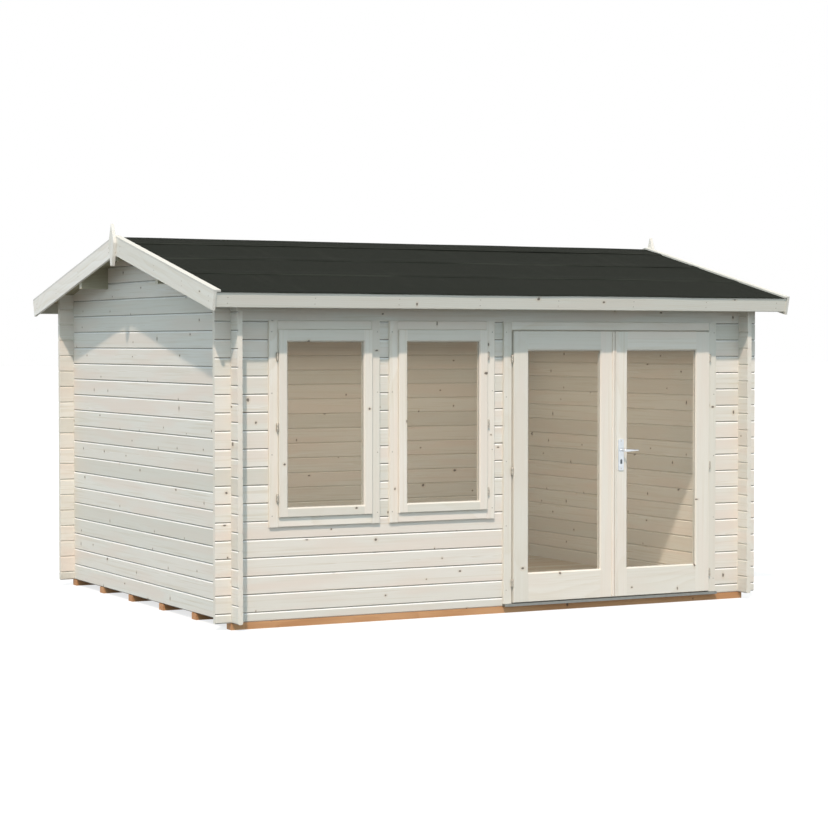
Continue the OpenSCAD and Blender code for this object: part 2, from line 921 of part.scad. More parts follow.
floor_bearers();
floor_deck();
door_threshold();
front_lower_logs();
front_left_logs();
front_window_logs();
front_centre_logs();
front_right_logs();
front_header_logs();
rear_wall();
left_gable_wall();
right_gable_wall();
ridge_purlin();
front_purlin();
rear_purlin();
front_roof_deck();
rear_roof_deck();
front_roof_felt();
rear_roof_felt();
front_fascia();
rear_fascia();
left_bargeboards();
right_bargeboards();
left_verge_caps();
right_verge_caps();
left_finial();
right_finial();
left_window_frame();
right_window_frame();
left_window_sash();
right_window_sash();
left_window_glass();
right_window_glass();
frame_hinges();
door_left_jamb();
door_right_jamb();
door_head();
left_door_leaf();
left_door_glass();
left_door_hinges();
right_door_leaf();
right_door_glass();
right_door_hinges();
door_handle_plates();
door_lever();
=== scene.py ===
"""Looks of the garden log cabin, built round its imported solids.

Metres. X runs along the front to the right, Y from the front to the back,
and Z up from the bearers' undersides. The origin lies under the middle of the cabin.
"""
import json
import math

import bmesh
import bpy
import numpy as np
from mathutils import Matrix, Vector

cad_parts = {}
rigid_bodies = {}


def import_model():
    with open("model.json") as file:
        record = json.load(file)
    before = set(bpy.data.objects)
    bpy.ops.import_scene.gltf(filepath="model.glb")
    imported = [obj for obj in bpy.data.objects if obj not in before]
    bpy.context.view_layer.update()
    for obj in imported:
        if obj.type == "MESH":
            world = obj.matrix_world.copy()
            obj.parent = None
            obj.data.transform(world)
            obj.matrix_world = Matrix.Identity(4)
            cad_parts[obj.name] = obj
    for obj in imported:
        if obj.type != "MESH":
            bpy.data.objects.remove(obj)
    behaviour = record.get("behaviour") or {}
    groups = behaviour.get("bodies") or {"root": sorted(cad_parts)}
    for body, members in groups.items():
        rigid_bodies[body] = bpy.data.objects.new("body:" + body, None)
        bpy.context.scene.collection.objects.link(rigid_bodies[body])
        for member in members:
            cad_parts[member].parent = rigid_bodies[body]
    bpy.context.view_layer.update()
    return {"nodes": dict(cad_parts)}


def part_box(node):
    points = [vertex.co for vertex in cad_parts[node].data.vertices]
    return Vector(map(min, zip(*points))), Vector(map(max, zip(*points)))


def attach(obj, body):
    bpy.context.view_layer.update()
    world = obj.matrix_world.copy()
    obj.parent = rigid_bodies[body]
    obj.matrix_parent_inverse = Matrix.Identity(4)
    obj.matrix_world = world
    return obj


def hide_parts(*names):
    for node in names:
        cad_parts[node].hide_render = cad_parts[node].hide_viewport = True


for leftover in list(bpy.data.objects):
    bpy.data.objects.remove(leftover)
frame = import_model()
scene = bpy.context.scene


# Sizes

def corners(node):
    """A solid's lowest and highest corners, as arrays."""
    low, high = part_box(node)
    return np.array(low), np.array(high)


def middle(axis, *nodes):
    """The middle of what some solids take up along an axis."""
    ends = [corner[axis] for node in nodes for corner in corners(node)]
    return (min(ends) + max(ends)) / 2


SEAT = 0.0003  # gap where one piece rests on another
LOGS_BESIDE_A_WINDOW = 11
SILL_Z, HEAD_Z = (corner[2] for corner in corners("front_left_logs"))
COURSE = (HEAD_Z - SILL_Z + SEAT) / LOGS_BESIDE_A_WINDOW
WALL_FOOT = corners("rear_wall")[0][2]
WALL_INSIDE_X = corners("right_gable_wall")[0][0]
WALL_INSIDE_Y = corners("rear_wall")[0][1]
LEFT_WINDOW_X = middle(0, "left_window_frame")
RIGHT_WINDOW_X = middle(0, "right_window_frame")
DOOR_X = middle(0, "door_left_jamb", "door_right_jamb")
ROOF_PITCH = math.radians(13)
RIDGE_Z = corners("ridge_purlin")[1][2]
DECK_T = 0.018
FELT_T = 0.003
FELT_LAPS = (0.235, 0.722, 1.210)  # where one strip ends over the next, out from the ridge
FRAME_UPRIGHT = 0.061
SASH_UPRIGHT = 0.060
HINGE_STILE = 0.113
MEETING_STILE = 0.104
GLAZING_GRIP = 0.0087  # what the rebate hides of a pane
FASCIA_H = 0.096
LEAF_HINGES = (0.130, 0.184)  # lowest hinge from the foot, and highest from the head
SASH_HINGES = (0.120, 0.169)
HINGE_R = 0.008
ROOF_BOARD = 0.0892  # width of a board
FLOOR_BOARD = 0.0882
WELD = 1e-6


# Camera and light

PHOTO_W = 828
FOCAL_PX = 2246.2
SENSOR_W = 36.0
SIGHT_END = 500.0
CAMERA_AT = (-7.404, -14.397, 1.787)
CAMERA_YAW = math.radians(27.612)
CAMERA_DIP = math.radians(1.792)
SUN_TRAVEL = (0.70, 1.0, -1.53)
SUN_STRENGTH = 2.66
SUN_COLOUR = (1.0, 0.828, 0.717)
SUN_WIDTH = math.radians(1.6)
ROOM_SIZE = (3.4, 2.5)
ROOM_AT = (0.0, 0.0, 1.75)
ROOM_POWER = 21.2
ROOM_COLOUR = (1.0, 0.845, 0.69)


def into_scene(name, data):
    """An object at the origin that holds a mesh, a lamp or a camera."""
    made = bpy.data.objects.new(name, data)
    scene.collection.objects.link(made)
    return made


camera_data = bpy.data.cameras.new("camera")
camera_data.sensor_width = SENSOR_W
camera_data.lens = FOCAL_PX / PHOTO_W * SENSOR_W
camera_data.clip_end = SIGHT_END
camera = into_scene("camera", camera_data)
camera.location = CAMERA_AT
camera.rotation_euler = (math.pi / 2 - CAMERA_DIP, 0.0, -CAMERA_YAW)
scene.camera = camera
scene.view_settings.view_transform = "Standard"

sun_data = bpy.data.lights.new("sun", "SUN")
sun_data.energy = SUN_STRENGTH
sun_data.color = SUN_COLOUR
sun_data.angle = SUN_WIDTH
sun = into_scene("sun", sun_data)
sun.rotation_euler = Vector(SUN_TRAVEL).to_track_quat("-Z", "Y").to_euler()

room_data = bpy.data.lights.new("room_light", "AREA")
room_data.shape = "RECTANGLE"
room_data.size, room_data.size_y = ROOM_SIZE
room_data.energy = ROOM_POWER
room_data.color = ROOM_COLOUR
room_light = into_scene("room_light", room_data)
room_light.location = ROOM_AT
room_light.visible_camera = False
room_light.visible_glossy = False
room_light.visible_transmission = False


# Shader expressions

END_GRAIN = 0.7


class Wire:
    """An output of a node. Sums and products of wires add Math nodes."""

    def __init__(self, finish, socket):
        self.finish = finish
        self.socket = socket

    def math(self, operation, *values):
        return self.finish.node("Math", {"operation": operation}, dict(enumerate(values)))

    def __add__(self, other):
        return self.math("ADD", self, other)

    def __radd__(self, other):
        return self.math("ADD", other, self)

    def __sub__(self, other):
        return self.math("SUBTRACT", self, other)

    def __rsub__(self, other):
        return self.math("SUBTRACT", other, self)

    def __mul__(self, other):
        return self.math("MULTIPLY", self, other)

    def __rmul__(self, other):
        return self.math("MULTIPLY", other, self)

    def __truediv__(self, other):
        return self.math("DIVIDE", self, other)

    def __pow__(self, other):
        return self.math("POWER", self, other)

    def __mod__(self, other):
        return self.math("FLOORED_MODULO", self, other)

    def __gt__(self, other):
        return self.math("GREATER_THAN", self, other)

    def __lt__(self, other):
        return self.math("LESS_THAN", self, other)

    def __abs__(self):
        return self.math("ABSOLUTE", self)

    def floor(self):
        return self.math("FLOOR", self)

    def most(self, other):
        return self.math("MAXIMUM", self, other)

    def rise(self, low, high):
        """Nought below low, one above high, and a smooth step between."""
        return self.finish.node("MapRange", {"interpolation_type": "SMOOTHSTEP"},
                                {"Value": self, "From Min": low, "From Max": high})

    def output(self, name):
        """Another output of the same node."""
        return Wire(self.finish, self.socket.node.outputs[name])


class Finish:
    """A material, or the world, whose nodes are written as expressions."""

    def __init__(self, owner):
        owner.use_nodes = True
        self.owner = owner
        self.tree = owner.node_tree
        self.tree.nodes.clear()

    def node(self, kind, settings, sockets, out=0):
        """Adds a node of a type, with its settings first and then a value or a link for each socket."""
        made = self.tree.nodes.new("ShaderNode" + kind)
        for key, value in settings.items():
            setattr(made, key, value)
        for key, value in sockets.items():
            if isinstance(value, Wire):
                self.tree.links.new(value.socket, made.inputs[key])
            else:
                made.inputs[key].default_value = value
        return Wire(self, made.outputs[out]) if made.outputs else None

    def split(self, vector):
        parts = self.node("SeparateXYZ", {}, {0: vector})
        return parts, parts.output("Y"), parts.output("Z")

    def join(self, x, y, z):
        return self.node("CombineXYZ", {}, {0: x, 1: y, 2: z})

    def coordinates(self, sort):
        """The three parts of one sort of texture coordinate."""
        return self.split(self.node("TexCoord", {}, {}).output(sort))

    def place(self):
        """The three Object coordinates."""
        return self.coordinates("Object")

    def end_grain(self, axis):
        """One where the surface looks along an axis of the object, as the cut end of a board does."""
        return abs(self.coordinates("Normal")[axis]) > END_GRAIN

    def mix(self, share, first, second):
        """A colour between two colours."""
        return self.node("Mix", {"data_type": "RGBA"}, {0: share, 6: first, 7: second}, out=2)

    def noise(self, vector, scale=1.0, detail=2.0):
        return self.node("TexNoise", {}, {"Vector": vector, "Scale": scale, "Detail": detail})

    def chance(self, number):
        """Three numbers from nought to one that differ from board to board."""
        luck = self.node("TexWhiteNoise", {"noise_dimensions": "1D"}, {"W": number})
        return self.split(luck.output("Color"))

    def surface(self, colour, roughness, relief, depth, **fixed):
        """The closing shader, with a relief of the given depth in metres."""
        sockets = {"Base Color": colour, "Roughness": roughness}
        sockets.update({key.replace("_", " "): value for key, value in fixed.items()})
        sockets["Normal"] = self.node("Bump", {}, {"Distance": depth, "Height": relief})
        self.close(self.node("BsdfPrincipled", {}, sockets))
        return self.owner

    def close(self, shader):
        self.node("OutputMaterial", {}, {"Surface": shader})


def new_finish(name):
    return Finish(bpy.data.materials.new(name))


def shade(red, green, blue):
    """A colour as a screen shows it, from 0 to 255, in the linear numbers that a shader takes."""
    screen = np.array([red, green, blue]) / 255.0
    linear = np.where(screen <= 0.04045, screen / 12.92, ((screen + 0.055) / 1.055) ** 2.4)
    return (*linear.tolist(), 1.0)


# Sky and floor

WHITE = (1.0, 1.0, 1.0, 1.0)
SKY_LOW = (1.08, 1.28, 1.40, 1.0)
SKY_HIGH = (0.535, 0.64, 0.70, 1.0)
SKY_BEHIND = (2.35, 2.15, 1.95, 1.0)
BEHIND_GAIN = 2.0
FLOOR_REACH = 150.0
FLOOR_LIT = (0.16, 0.16, 0.155, 1.0)
FLOOR_SHADOWED = (0.30, 0.30, 0.30, 1.0)
FLOOR_GLOW = 0.74


def seen(finish):
    """One where the camera sees the surface, straight, in a reflection or through glass."""
    path = finish.node("LightPath", {}, {})
    return path.most(path.output("Is Glossy Ray")).most(path.output("Is Transmission Ray"))


scene.world = scene.world or bpy.data.worlds.new("sky")
sky = Finish(scene.world)
right, back, height = sky.coordinates("Generated")
behind = right.most(0.0) * back.most(0.0) * BEHIND_GAIN
sky_colour = sky.mix(behind, sky.mix(height, SKY_LOW, SKY_HIGH), SKY_BEHIND)
sky_light = sky.node("Background", {}, {"Color": sky_colour, "Strength": 1.0})
sky_white = sky.node("Background", {}, {"Color": WHITE, "Strength": 1.0})
sky_shown = sky.node("MixShader", {}, {0: seen(sky), 1: sky_light, 2: sky_white})
sky.node("OutputWorld", {}, {"Surface": sky_shown})

studio = new_finish("studio_floor")
floor_lit = studio.node("BsdfDiffuse", {}, {"Color": FLOOR_LIT})
floor_shadowed = studio.node("BsdfDiffuse", {}, {"Color": FLOOR_SHADOWED})
floor_glow = studio.node("Emission", {}, {"Color": WHITE, "Strength": FLOOR_GLOW})
floor_shown = studio.node("AddShader", {}, {0: floor_shadowed, 1: floor_glow})
studio.close(studio.node("MixShader", {}, {0: seen(studio), 1: floor_lit, 2: floor_shown}))
floor_mesh = bpy.data.meshes.new("studio_floor")
floor_corners = [(x * FLOOR_REACH, y * FLOOR_REACH, -SEAT)
                 for x, y in ((-1, -1), (1, -1), (1, 1), (-1, 1))]
floor_mesh.from_pydata(floor_corners, [], [(0, 1, 2, 3)])
floor_mesh.materials.append(studio.owner)
into_scene("studio_floor", floor_mesh)


# Timber

def tones(others, **shades):
    """The shades of a timber: another timber's with some of them changed."""
    return {**others, **{part: shade(*colour) for part, colour in shades.items()}}


# Of these shades, the near-white one paints a highlight on the logs' upper edges, and the dark brown one
# paints joint dirt and shade at their lower edges.
LOG_TONE = tones({}, pale=(236, 236, 230), warm=(209, 201, 181), rosy=(230, 219, 207),
                 shaded=(205, 205, 194), halo=(194, 170, 136), knot=(56, 45, 36),
                 cut=(228, 221, 206), seam=(98, 91, 80), crest=(252, 252, 249))
TRIM_TONE = tones(LOG_TONE, pale=(238, 238, 233), warm=(219, 213, 199), rosy=(233, 227, 219))
FASCIA_TONE = tones(LOG_TONE, pale=(230, 231, 224), warm=(210, 205, 187), rosy=(224, 218, 207))
# The caps are the trim timber made darker, painted shade that holds back the strong light on their upward
# faces.
SHADE_DARKENED_CAP_TONE = tones(LOG_TONE, pale=(214, 214, 209), warm=(200, 196, 186), rosy=(210, 207, 202))
FRAME_TONE = tones(LOG_TONE, pale=(239, 236, 227), warm=(221, 212, 193), rosy=(235, 225, 213))
# The roof boards and purlins are made darker than the pale timber they are, to paint the shade under the
# overhangs.
SHADE_DARKENED_ROOF_TONE = tones(LOG_TONE, pale=(160, 157, 134), warm=(137, 127, 99), rosy=(149, 142, 118))
FLOOR_TONE = tones(LOG_TONE, pale=(192, 177, 152), warm=(166, 145, 114), rosy=(182, 162, 136))
BEARER_TONE = tones(LOG_TONE, pale=(218, 170, 126), warm=(184, 132, 89), rosy=(190, 137, 93),
                    shaded=(180, 136, 94), halo=(130, 84, 52), cut=(200, 142, 98))

RING_W = 0.0034
KNOT_LEAST = 0.0042
KNOT_WIDER = 0.0090
KNOT_TALLER = 0.0100
PITH_WANDER_ACROSS = 0.06
PITH_WANDER_DEEP = 0.05
PITH_DEEP = 0.022
RING_ROUND_KNOT = 0.005
RING_UNEVEN = 0.0012
# Band of the dark line at a log's lower edge: joint dirt with painted shade.
JOINT_DIRT_AND_SHADE_EDGE = (0.0025, 0.0062)
# Where the painted highlight lies, below a log's upper edge.
PAINTED_HIGHLIGHT_EDGE = (0.011, 0.006)
OUTER_FACE = (0.010, 0.030)
GRAIN_DEPTH = 0.0005


def knots(f, along, across, into, board, width, gap, share):
    """Knots scattered along a board, one chance in each cell of a row, and the halos round them.

    A knot is an ellipse of its own size with a rough rim. Its halo fades out at three times that size.
    """
    rough = f.noise(f.join(along * 60.0, across * 60.0, into * 60.0)) - 0.5
    row_u = along / gap + board * 5.37
    row_v = across / width * 0.98 + board * 3.0 + 0.01
    cell = f.node("TexVoronoi", {"voronoi_dimensions": "2D"},
                  {"Vector": f.join(row_u, row_v, 0.0), "Scale": 1.0})
    luck, wide, tall = f.split(cell.output("Color"))
    centre_u, centre_v, _ = f.split(cell.output("Position"))
    beside = (row_u - centre_u) * gap / (wide * wide * KNOT_WIDER + KNOT_LEAST)
    above = (row_v - centre_v) * width / (tall * tall * KNOT_TALLER + KNOT_LEAST)
    distance = (beside * beside + above * above) ** 0.5 + rough * 1.5
    present = luck < share
    knot = (1.0 - distance.rise(0.70, 1.20)) * present
    halo = (1.0 - distance.rise(0.80, 3.0)) * present
    return knot, halo


def pith_distance(f, along, across, into, board, width, luck_a, luck_b):
    """Distance from a pith that lies beside each board and wanders along it."""
    wander_a = f.noise(f.join(along * 0.8, board * 7.1, 0.0)) - 0.5
    wander_b = f.noise(f.join(along * 0.6, board * 3.3, 9.0)) - 0.5
    off_a = across - (luck_a * 1.3 - 0.15) * width + wander_a * PITH_WANDER_ACROSS
    off_b = into - luck_b * 0.05 - PITH_DEEP + wander_b * PITH_WANDER_DEEP
    return (off_a * off_a + off_b * off_b) ** 0.5


def timber(name, lay, tone, width, knot_gap=0.45, knot_share=0.5, ring=RING_W, seamed=False):
    """Softwood, from lay: places along, across and into a board, the board's number, and its end grain.

    Growth rings are tubes about the pith, so that the same rings give arches on a face and arcs on
    an end, and knots push them aside. Fibres and streaks are noise drawn out along the board. A seamed
    log has, outside the wall, a dark line at its lower edge, partly joint dirt and partly painted shade,
    and a painted highlight as a pale line along its upper edge. The end grain is None where no cut end
    shows.
    """
    f = new_finish(name)
    along, across, into, board, cut = lay(f)
    luck_a, luck_b, luck_c = f.chance(board * 1.731 + 0.37)
    knot, halo = knots(f, along, across, into, board, width, knot_gap, knot_share)
    fibre = f.noise(f.join(along * 7.0 + board, across * 380.0, into * 380.0), detail=3.0)
    streak = f.noise(f.join(along * 1.3 + board * 3.1, across * 60.0, into * 60.0), detail=3.0)
    patch = f.noise(f.join(along * 1.4 + board * 2.7, across * 9.0, board * 1.9), detail=1.0)
    distance = pith_distance(f, along, across, into, board, width, luck_a, luck_b)
    phase = ((distance + halo * RING_ROUND_KNOT + fibre * RING_UNEVEN) / ring) % 1.0
    late = phase * phase * (1.0 - phase.rise(0.93, 1.0))

    warmth = late * 0.44 + fibre * 0.20 + streak.rise(0.48, 0.72) * 0.42
    colour = f.mix(warmth, tone["pale"], tone["warm"])
    colour = f.mix(patch.rise(0.42, 0.66) * 0.60 + luck_b * 0.30, colour, tone["rosy"])
    colour = f.mix(luck_c * luck_c * 0.62, colour, tone["shaded"])
    colour = f.mix(halo * 0.30, colour, tone["halo"])
    colour = f.mix(knot * (0.74 + 0.20 * late), colour, tone["knot"])
    if cut is not None:
        colour = f.mix(cut * (0.30 + late * 0.35), colour, tone["cut"])
    if seamed:
        outside = into.rise(*OUTER_FACE)
        # Painted highlight: a pale line along the upper edge of each log, outside the wall.
        crest = across.rise(*(width - down for down in PAINTED_HIGHLIGHT_EDGE)) * (1.0 - cut)
        colour = f.mix(crest * outside * 0.70, colour, tone["crest"])
        # Dark line along the lower edge of each log: partly dirt in the joint and partly painted shade,
        # faint inside and strong outside.
        edge = (1.0 - across.rise(*JOINT_DIRT_AND_SHADE_EDGE)) * (1.0 - cut)
        colour = f.mix(edge * (0.07 + outside * 0.78), colour, tone["seam"])
    roughness = 0.56 + fibre * 0.22 - knot * 0.12
    relief = fibre * 0.5 + late * 0.35 - knot * 0.4
    return f.surface(colour, roughness, relief, GRAIN_DEPTH, Specular_IOR_Level=0.32)


# Lie of the boards, with numbers that give each sort of board grain of its own

REAR_LOG_NO = 41.0
STRETCH_NO = 19.0
GABLE_LOG_NO = 120.0
RIGHT_GABLE_NO = 37.0
FASCIA_NO = 300.0
PURLIN_NO = 305.0
FINIAL_NO = 311.0
VERGE_NO = 320.0
JAMB_NO = 330.0
HEAD_NO = 340.0
ROOF_BOARD_NO = 400.0
REAR_SLOPE_NO = 71.0
WINDOW_FRAME_NO = 500.0
SASH_NO = 520.0
LEAF_NO = 540.0
RIGHT_SIDE_NO = 5.0
BEAD_NO = 560.0
FLOOR_BOARD_NO = 600.0
BEARER_NO = 700.0
ROWS_FROM = 5.0
ROOF_DEPTH_A_HEIGHT = 0.4


def lay_front_and_rear(f):
    """Logs along X; a log cut at a window or the door has its own grain on each side of the opening."""
    x, y, z = f.place()
    course = (z - WALL_FOOT) / COURSE + 0.5
    log = course.floor()
    beside = (z > SILL_Z) * (z < HEAD_Z) * (y < 0.0)
    stretch = (x > LEFT_WINDOW_X) + (x > RIGHT_WINDOW_X) + (x > DOOR_X)
    board = log + (y > 0.0) * REAR_LOG_NO + beside * stretch * STRETCH_NO
    return x, (course - log) * COURSE, abs(y) - WALL_INSIDE_Y, board, f.end_grain(0)


def lay_gables(f):
    """Logs along Y."""
    x, y, z = f.place()
    course = (z - WALL_FOOT) / COURSE
    log = course.floor()
    board = log + (x > 0.0) * RIGHT_GABLE_NO + GABLE_LOG_NO
    return y, (course - log) * COURSE, abs(x) - WALL_INSIDE_X, board, f.end_grain(1)


def lay_long(number, low=0.0, numbers_a_metre=1.39):
    """Boards along X, with their width up from a height, numbered by their place along Y."""
    def lay(f):
        x, y, z = f.place()
        return x, z - low, y, (y * numbers_a_metre).floor() + number, f.end_grain(0)
    return lay


def lay_upright(number, numbers_a_metre=2.3):
    """Boards along Z, with their width along X, numbered by their place along X."""
    def lay(f):
        x, y, z = f.place()
        return z, x, y, (x * numbers_a_metre).floor() + number, f.end_grain(2)
    return lay


def lay_finial(f):
    """Boards along Z, with their width along Y, one at each gable."""
    x, y, z = f.place()
    return z, y, x, (x > 0.0) + FINIAL_NO, f.end_grain(2)


def lay_verge(f):
    """Boards up each side of a gable: along the slope from the ridge, and square to the slope."""
    x, y, z = f.place()
    out = abs(y)
    along = out * math.cos(ROOF_PITCH) - z * math.sin(ROOF_PITCH)
    across = (z - RIDGE_Z) * math.cos(ROOF_PITCH) + out * math.sin(ROOF_PITCH)
    return along, across, x, (x > 0.0) * 2.0 + (y > 0.0) + VERGE_NO, None


def lay_joined(node, uprights, number):
    """A frame, sash or leaf: uprights of given widths at its sides, with level pieces between them."""
    low, high = corners(node)
    centre = (low + high) / 2

    def lay(f):
        x, y, z = f.place()
        upright = (x < low[0] + uprights[0]) + (x > high[0] - uprights[1])
        level = 1.0 - upright
        along = z * upright + x * level
        across = (x - low[0]) * upright + (z - low[2]) * level
        board = upright * (x > centre[0]) + level * ((z > centre[2]) + 2.0) + number
        return along, across, y, board, None
    return lay


def lay_roof_boards(f):
    """Boards down both slopes, side by side along X."""
    x, y, z = f.place()
    row = (x + ROWS_FROM) / ROOF_BOARD
    board = row.floor()
    number = board + (y > 0.0) * REAR_SLOPE_NO + ROOF_BOARD_NO
    return y, (row - board) * ROOF_BOARD, z * ROOF_DEPTH_A_HEIGHT, number, f.end_grain(1)


def lay_floor_boards(f):
    """Boards along X, side by side along Y."""
    x, y, z = f.place()
    row = (y + ROWS_FROM) / FLOOR_BOARD
    board = row.floor()
    return x, (row - board) * FLOOR_BOARD, z, board + FLOOR_BOARD_NO, f.end_grain(0)


# Finishes of felt, metal, glass and seals

FELT_LAP_BAND = (0.036, 0.010)
FELT_LAP_END = (0.004, 0.006)


def felt_finish():
    """Mineral felt: granules over bitumen, with wide patches, runs down the slope and paler broken bands
    at the lap edges.
    """
    f = new_finish("mineral_felt")
    x, y, z = f.place()
    place = f.join(x, y, z)
    granule = f.noise(place, 620.0, 1.0)
    patch = f.noise(place, 2.6, 3.0)
    run = f.noise(f.join(x * 14.0, y * 1.1, 0.0), 1.0, 2.0)
    colour = f.mix(granule.rise(0.34, 0.68), shade(15, 18, 14), shade(36, 40, 33))
    colour = f.mix(patch.rise(0.35, 0.75) * 0.35, colour, shade(26, 31, 25))
    colour = f.mix(run.rise(0.52, 0.8) * 0.16, colour, shade(48, 51, 44))
    # A paler broken band along the foot of each strip, where it lies over the next.
    for lap in FELT_LAPS:
        above = abs(y).rise(*(lap - up for up in FELT_LAP_BAND))
        below = abs(y).rise(*(lap + down for down in FELT_LAP_END))
        lap_band = f.noise(f.join(x * 2.4, y * 3.0, lap * 9.0), 1.0, 2.0)
        colour = f.mix(above * (1.0 - below) * lap_band.rise(0.36, 0.66) * 0.45, colour, shade(56, 60, 53))
    return f.surface(colour, 0.88 + granule * 0.1, granule, 0.0006, Specular_IOR_Level=0.08)


def metal_finish(name, colour, dull, roughness=0.24, brushed=False):
    """Satin metal with faint smears and, where it is brushed, fine lines along X."""
    f = new_finish(name)
    x, y, z = f.place()
    smear = f.noise(f.join(x, y, z), 34.0, 3.0)
    line = f.noise(f.join(x * 3.0, y * 900.0, z * 900.0), 1.0, 2.0) if brushed else smear
    tint = f.mix(smear.rise(0.40, 0.75) * 0.35, shade(*colour), shade(*dull))
    return f.surface(tint, roughness + smear * 0.16 + line * 0.10, line, 0.0001, Metallic=1.0)


def plain_finish(name, colour, dark, roughness):
    """A dull coating with faint mottling."""
    f = new_finish(name)
    x, y, z = f.place()
    mottle = f.noise(f.join(x, y, z), 140.0, 3.0)
    tint = f.mix(mottle.rise(0.35, 0.7), shade(*colour), shade(*dark))
    return f.surface(tint, roughness + mottle * 0.1, mottle, 0.0002)


def pane_finish():
    """Clear glass: light passes straight through, but for what its faces reflect, more with the slant."""
    f = new_finish("window_glass")
    gloss = f.node("BsdfGlossy", {}, {"Color": WHITE, "Roughness": 0.02})
    clear = f.node("BsdfTransparent", {}, {"Color": (0.99, 1.0, 0.995, 1.0)})
    slant = f.node("LayerWeight", {}, {"Blend": 0.5}).output("Facing")
    f.close(f.node("MixShader", {}, {0: slant ** 5.0 * 0.58 + 0.024, 1: clear, 2: gloss}))
    return f.owner


felt = felt_finish()
steel = metal_finish("satin_steel", (220, 226, 231), (190, 196, 201))
hinge_steel = metal_finish("zinc_steel", (176, 173, 163), (146, 143, 134), 0.42)
sill_metal = metal_finish("brushed_sill", (140, 144, 141), (116, 120, 117), 0.36, brushed=True)
lock_metal = plain_finish("lock_face", (108, 118, 124), (80, 88, 94), 0.40)
seal_rubber = plain_finish("glazing_seal", (168, 164, 154), (150, 146, 136), 0.6)
screw_metal = plain_finish("screw_heads", (186, 181, 168), (158, 152, 139), 0.42)


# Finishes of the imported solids

def dress(finish, *nodes):
    """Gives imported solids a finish."""
    for node in nodes:
        for place in frame["nodes"][node].material_slots:
            place.material = finish


def joinery(name, node, uprights, number, width, knot_gap, knot_share):
    """Gives a frame, sash or leaf timber that runs along each of its pieces."""
    dress(timber(name, lay_joined(node, uprights, number), FRAME_TONE, width, knot_gap, knot_share), node)


dress(timber("logs_front_and_rear", lay_front_and_rear, LOG_TONE, COURSE, seamed=True),
      "front_lower_logs", "front_left_logs", "front_window_logs", "front_centre_logs",
      "front_right_logs", "front_header_logs", "rear_wall")
dress(timber("logs_gables", lay_gables, LOG_TONE, COURSE, seamed=True),
      "left_gable_wall", "right_gable_wall")
dress(timber("purlins", lay_long(PURLIN_NO, low=2.2), SHADE_DARKENED_ROOF_TONE, width=0.14),
      "ridge_purlin", "front_purlin", "rear_purlin")
dress(timber("fascia_boards", lay_long(FASCIA_NO, low=2.0), FASCIA_TONE, width=0.09, knot_gap=0.5),
      "front_fascia", "rear_fascia")
dress(timber("verge_boards", lay_verge, TRIM_TONE, width=0.11, knot_gap=0.6, knot_share=0.35),
      "left_bargeboards", "right_bargeboards")
dress(timber("verge_cap_strips", lay_verge, SHADE_DARKENED_CAP_TONE, width=0.045, knot_share=0.0),
      "left_verge_caps", "right_verge_caps")
dress(timber("finial_boards", lay_finial, TRIM_TONE, width=0.10, knot_share=0.2),
      "left_finial", "right_finial")
dress(timber("door_jambs", lay_upright(JAMB_NO), FRAME_TONE, width=0.06, knot_gap=0.7, knot_share=0.4),
      "door_left_jamb", "door_right_jamb")
dress(timber("door_head", lay_long(HEAD_NO, low=1.869), FRAME_TONE, width=0.07,
             knot_gap=0.7, knot_share=0.4), "door_head")
dress(timber("bearers", lay_long(BEARER_NO, numbers_a_metre=1.71), BEARER_TONE, width=0.05, ring=0.004),
      "floor_bearers")
dress(sill_metal, "door_threshold")
dress(pane_finish(), "left_window_glass", "right_window_glass", "left_door_glass", "right_door_glass")
for side, stiles, step in (("left", (HINGE_STILE, MEETING_STILE), 0.0),
                           ("right", (MEETING_STILE, HINGE_STILE), RIGHT_SIDE_NO)):
    joinery(side + "_window_frame", side + "_window_frame", (FRAME_UPRIGHT, FRAME_UPRIGHT),
            WINDOW_FRAME_NO + step, width=0.06, knot_gap=0.6, knot_share=0.4)
    joinery(side + "_sash", side + "_window_sash", (SASH_UPRIGHT, SASH_UPRIGHT),
            SASH_NO + step, width=0.065, knot_gap=0.6, knot_share=0.4)
    joinery(side + "_leaf", side + "_door_leaf", stiles,
            LEAF_NO + step, width=0.11, knot_gap=0.5, knot_share=0.5)


# Shapes

def piece(name, points, faces, finish, body, stands_for=(), smooth=None):
    """A new piece from points and faces, welded, turned outwards, and carried by a body.

    Where smooth is given, edges that turn by less than that many degrees are shaded as round.
    """
    mesh = bpy.data.meshes.new(name)
    mesh.from_pydata(points.reshape(-1, 3).tolist(), [], faces)
    shell = bmesh.new()
    shell.from_mesh(mesh)
    bmesh.ops.remove_doubles(shell, verts=shell.verts, dist=WELD)
    bmesh.ops.recalc_face_normals(shell, faces=shell.faces)
    shell.to_mesh(mesh)
    shell.free()
    mesh.materials.append(finish)
    if smooth is not None:
        mesh.shade_smooth()
        mesh.set_sharp_from_angle(angle=math.radians(smooth))
    made = into_scene(name, mesh)
    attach(made, body)
    if stands_for:
        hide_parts(*stands_for)


def numbered(points):
    """The number of each point, laid out as the points are: by shape, ring and place on the ring."""
    return np.arange(points[..., 0].size).reshape(points.shape[:-1])


def ring_faces(points):
    """Quads between each closed ring of points and the next."""
    place = numbered(points)
    beside = np.roll(place, -1, axis=2)
    quads = np.stack([place[:, :-1], beside[:, :-1], beside[:, 1:], place[:, 1:]], -1)
    return quads.reshape(-1, 4).tolist()


def run_faces(points):
    """Faces of closed profiles carried along paths: quads between the profiles, and a cap at each end."""
    corner = numbered(points)
    return [*ring_faces(points), *corner[:, 0, ::-1].tolist(), *corner[:, -1].tolist()]


def full_turn(places):
    """Angles of places spread evenly round a circle."""
    return np.linspace(0.0, 2 * math.pi, places, endpoint=False)


